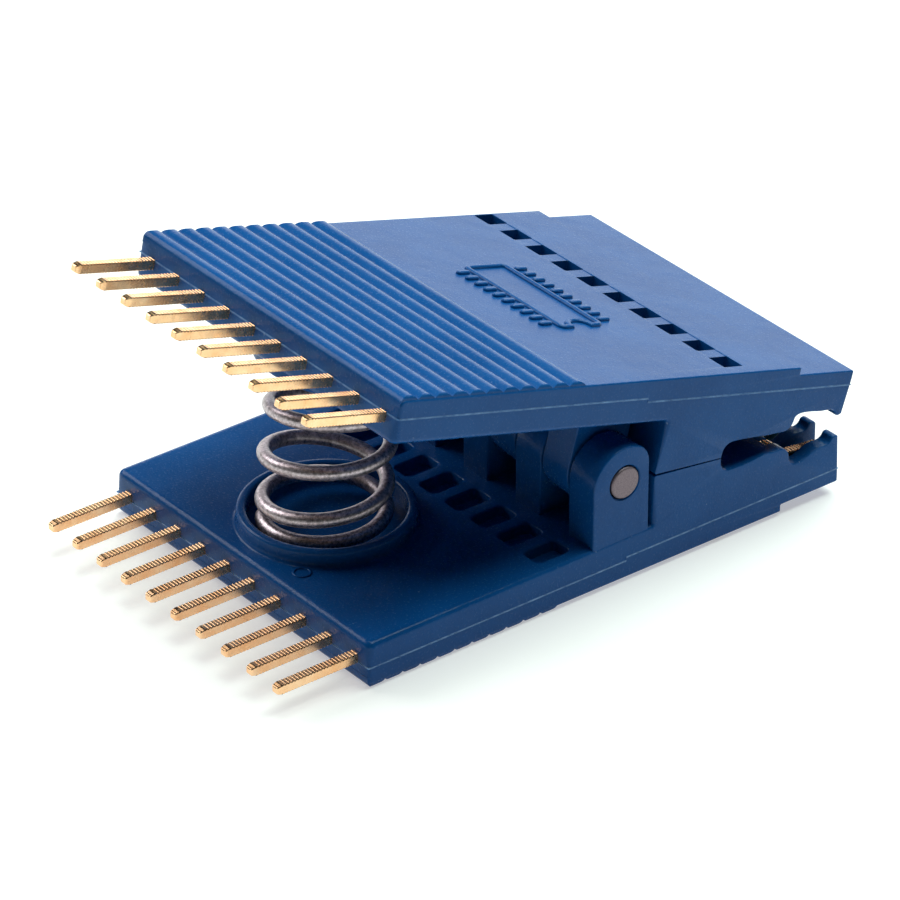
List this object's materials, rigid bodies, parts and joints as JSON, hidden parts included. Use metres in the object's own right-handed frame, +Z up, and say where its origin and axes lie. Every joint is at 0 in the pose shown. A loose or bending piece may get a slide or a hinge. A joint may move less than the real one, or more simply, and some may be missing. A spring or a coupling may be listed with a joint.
{
  "type": "dual in-line IC test clip",
  "caption": "Spring-loaded test clip: two hinged moulded arms with comb jaws that grip a dual in-line chip, coil spring between the grips, gold pins at the rear.",
  "frame": {"origin": "middle of the footprint, on the surface that the clip lies on, with its lower arm flat", "axes": "+X from the grips towards the jaws, +Y along the pivot pin, +Z up from the lower arm to the upper arm"},
  "size_m": [0.0434, 0.0256, 0.0191],
  "materials": {
    "arm_plastic": "matte moulded blue with a fine grain",
    "contact_gold": "gold plate over knurled square wire",
    "pin_steel": "turned steel, cut ends",
    "spring_steel": "dark oiled spring wire"
  },
  "bodies": {
    "lower": {"lower_arm": "arm_plastic", "pivot_pin": "pin_steel", "spring": "spring_steel", "lower_contact_01": "contact_gold", "lower_contact_02": "contact_gold", "lower_contact_03": "contact_gold", "lower_contact_04": "contact_gold", "lower_contact_05": "contact_gold", "lower_contact_06": "contact_gold", "lower_contact_07": "contact_gold", "lower_contact_08": "contact_gold", "lower_contact_09": "contact_gold", "lower_contact_10": "contact_gold"},
    "upper": {"upper_arm": "arm_plastic", "upper_contact_01": "contact_gold", "upper_contact_02": "contact_gold", "upper_contact_03": "contact_gold", "upper_contact_04": "contact_gold", "upper_contact_05": "contact_gold", "upper_contact_06": "contact_gold", "upper_contact_07": "contact_gold", "upper_contact_08": "contact_gold", "upper_contact_09": "contact_gold", "upper_contact_10": "contact_gold"}
  },
  "joints": [
    {"name": "jaw_hinge", "type": "hinge", "parent": "lower", "child": "upper", "pos_m": [0.00354, 0, 0.00696], "axis": [0, -1, 0], "range_deg": [0, 26], "stiffness_Nm_per_rad": 0.2, "springref_deg": -11.46, "deforming": ["spring"]}
  ]
}
